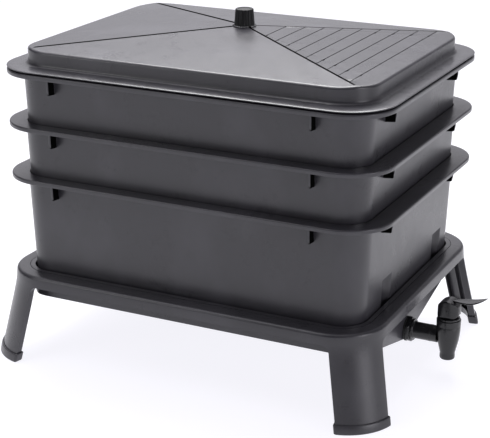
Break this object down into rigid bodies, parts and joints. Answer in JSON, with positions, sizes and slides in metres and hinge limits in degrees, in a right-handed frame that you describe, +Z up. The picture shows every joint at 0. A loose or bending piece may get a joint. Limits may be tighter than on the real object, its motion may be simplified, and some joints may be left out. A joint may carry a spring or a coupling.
{
  "type": "wormery",
  "caption": "Grey plastic wormery: perforated trays nested on a splayed-leg stand, under a hipped lid with a knob, over a sloped liquid collector with a lever tap.",
  "frame": {"origin": "on the floor, under the middle of the tray stack", "axes": "+X along the long sides towards the tap, -Y towards the front long side, +Z up"},
  "size_m": [0.7119, 0.5084, 0.5165],
  "materials": {
    "tray_plastic": "fine satin grain, charcoal grey",
    "lid_plastic": "fine satin grain, charcoal grey",
    "stand_plastic": "fine satin grain, charcoal grey",
    "collector_plastic": "fine satin grain, charcoal grey",
    "knob_plastic": "satin, near black",
    "tap_plastic": "satin, near black",
    "lever_plastic": "satin, near black",
    "black_rubber": "matt",
    "steel": "bright drawn stainless"
  },
  "bodies": {
    "base": {"stand": "stand_plastic", "foot_shoe_front_left": "stand_plastic", "foot_shoe_front_right": "stand_plastic", "foot_shoe_back_left": "stand_plastic", "foot_shoe_back_right": "stand_plastic", "collector_tray": "collector_plastic", "tap_body": "tap_plastic", "tap_gasket": "black_rubber", "tap_lock_nut": "tap_plastic", "tap_bonnet": "tap_plastic", "tap_spring": "steel"},
    "tap_plunger": {"tap_stem": "tap_plastic", "tap_seal": "black_rubber", "tap_lever_pin": "steel"},
    "tap_handle": {"tap_lever": "lever_plastic"},
    "tray_low": {"lower_tray": "tray_plastic"},
    "tray_mid": {"middle_tray": "tray_plastic"},
    "tray_top": {"upper_tray": "tray_plastic"},
    "cover": {"lid": "lid_plastic", "lid_knob": "knob_plastic", "lid_knob_washer": "steel", "lid_knob_screw": "steel"}
  },
  "joints": [
    {"name": "lower_tray_lift", "type": "slide", "parent": "base", "child": "tray_low", "axis": [0, 0, 1], "range_m": [0, 0.13]},
    {"name": "middle_tray_lift", "type": "slide", "parent": "tray_low", "child": "tray_mid", "axis": [0, 0, 1], "range_m": [0, 0.13]},
    {"name": "upper_tray_lift", "type": "slide", "parent": "tray_mid", "child": "tray_top", "axis": [0, 0, 1], "range_m": [0, 0.13]},
    {"name": "lid_lift", "type": "slide", "parent": "tray_top", "child": "cover", "axis": [0, 0, 1], "range_m": [0, 0.13]},
    {"name": "tap_stem_lift", "type": "slide", "parent": "base", "child": "tap_plunger", "axis": [0, 0, 1], "range_m": [0, 0.00262], "deforming": ["tap_spring"]},
    {"name": "tap_lever_press", "type": "hinge", "parent": "tap_plunger", "child": "tap_handle", "pos_m": [0.33366, 0, 0.104], "axis": [0, 1, 0], "range_deg": [0, 25], "stiffness_Nm_per_rad": 0.3, "springref_deg": -17.19}
  ],
  "couplings": [
    {"joint": "tap_stem_lift", "follows": "tap_lever_press", "m_per_rad": 0.006}
  ]
}
